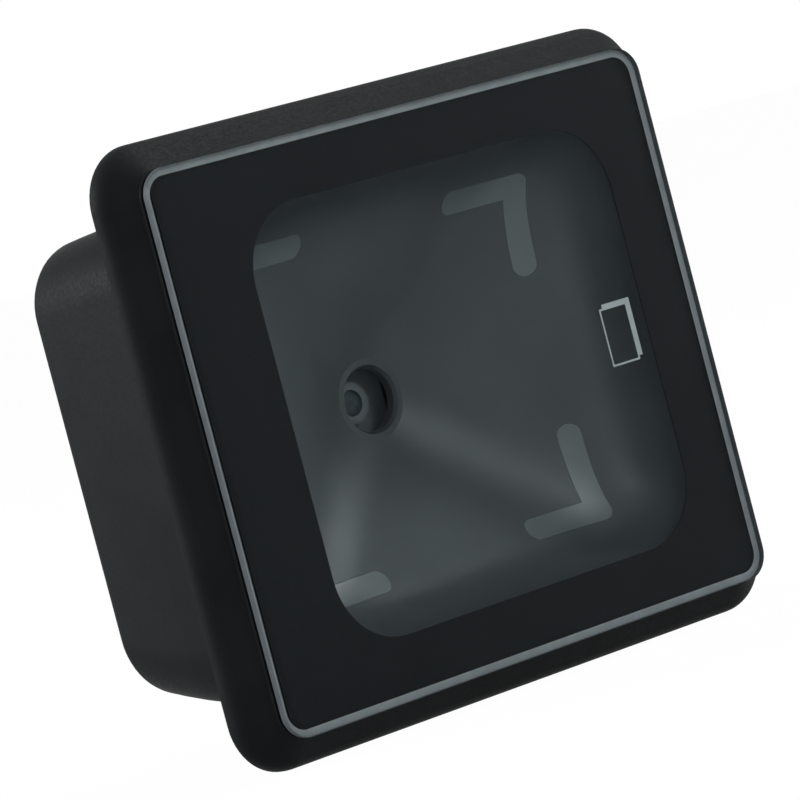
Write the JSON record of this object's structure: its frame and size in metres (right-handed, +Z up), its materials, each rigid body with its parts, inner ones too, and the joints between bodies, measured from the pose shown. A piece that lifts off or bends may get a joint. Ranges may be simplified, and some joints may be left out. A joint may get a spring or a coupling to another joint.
{
  "type": "fixed barcode reader",
  "caption": "Panel-mounted code reader: a black flanged box with a glass window, a funnel-shaped light hood with corner light guides, a small camera and a rear data socket.",
  "frame": {"origin": "centre of the mounting inserts' pattern on the flange's rear face, which seats on the panel", "axes": "+X to the right as seen from the front, +Y from the flange back through the box, away from the person who shows a code, +Z up"},
  "size_m": [0.0786, 0.0331, 0.0678],
  "materials": {
    "bezel_plastic": "fine-textured black moulding",
    "housing_plastic": "fine-textured black moulding",
    "hood_plastic": "satin dark grey moulding",
    "guide_plastic": "frosted clear moulding over a dark chamber",
    "lens_plastic": "matt black moulding",
    "window_glass": "polished, with a rounded edge",
    "lens_glass": "coated lens",
    "mask_film": "black printed film",
    "tape": "black acrylic foam tape",
    "seal_rubber": "black sheet rubber",
    "circuit_board": "green solder mask",
    "led_body": "white package with yellow phosphor",
    "chip_body": "black moulding compound",
    "sensor": "glass-covered sensor",
    "brass": "turned",
    "steel": "zinc plated",
    "socket_shell": "drawn stainless sheet"
  },
  "bodies": {
    "root": {"front_bezel": "bezel_plastic", "window_glass": "window_glass", "window_mask": "mask_film", "window_tape": "tape", "light_hood": "hood_plastic", "light_guide_top_left": "guide_plastic", "light_guide_top_right": "guide_plastic", "light_guide_bottom_left": "guide_plastic", "light_guide_bottom_right": "guide_plastic", "illumination_board": "circuit_board", "illumination_leds": "led_body", "lens_barrel": "lens_plastic", "front_lens": "lens_glass", "lens_holder": "lens_plastic", "image_sensor": "sensor", "decoder_board": "circuit_board", "decoder_chips": "chip_body", "buzzer": "chip_body", "board_header": "chip_body", "board_spacers": "brass", "board_screws": "steel", "data_socket": "socket_shell", "socket_tongue": "chip_body", "rear_housing": "housing_plastic", "housing_seal": "seal_rubber", "housing_screws": "steel", "mount_inserts": "brass"}
  },
  "joints": []
}
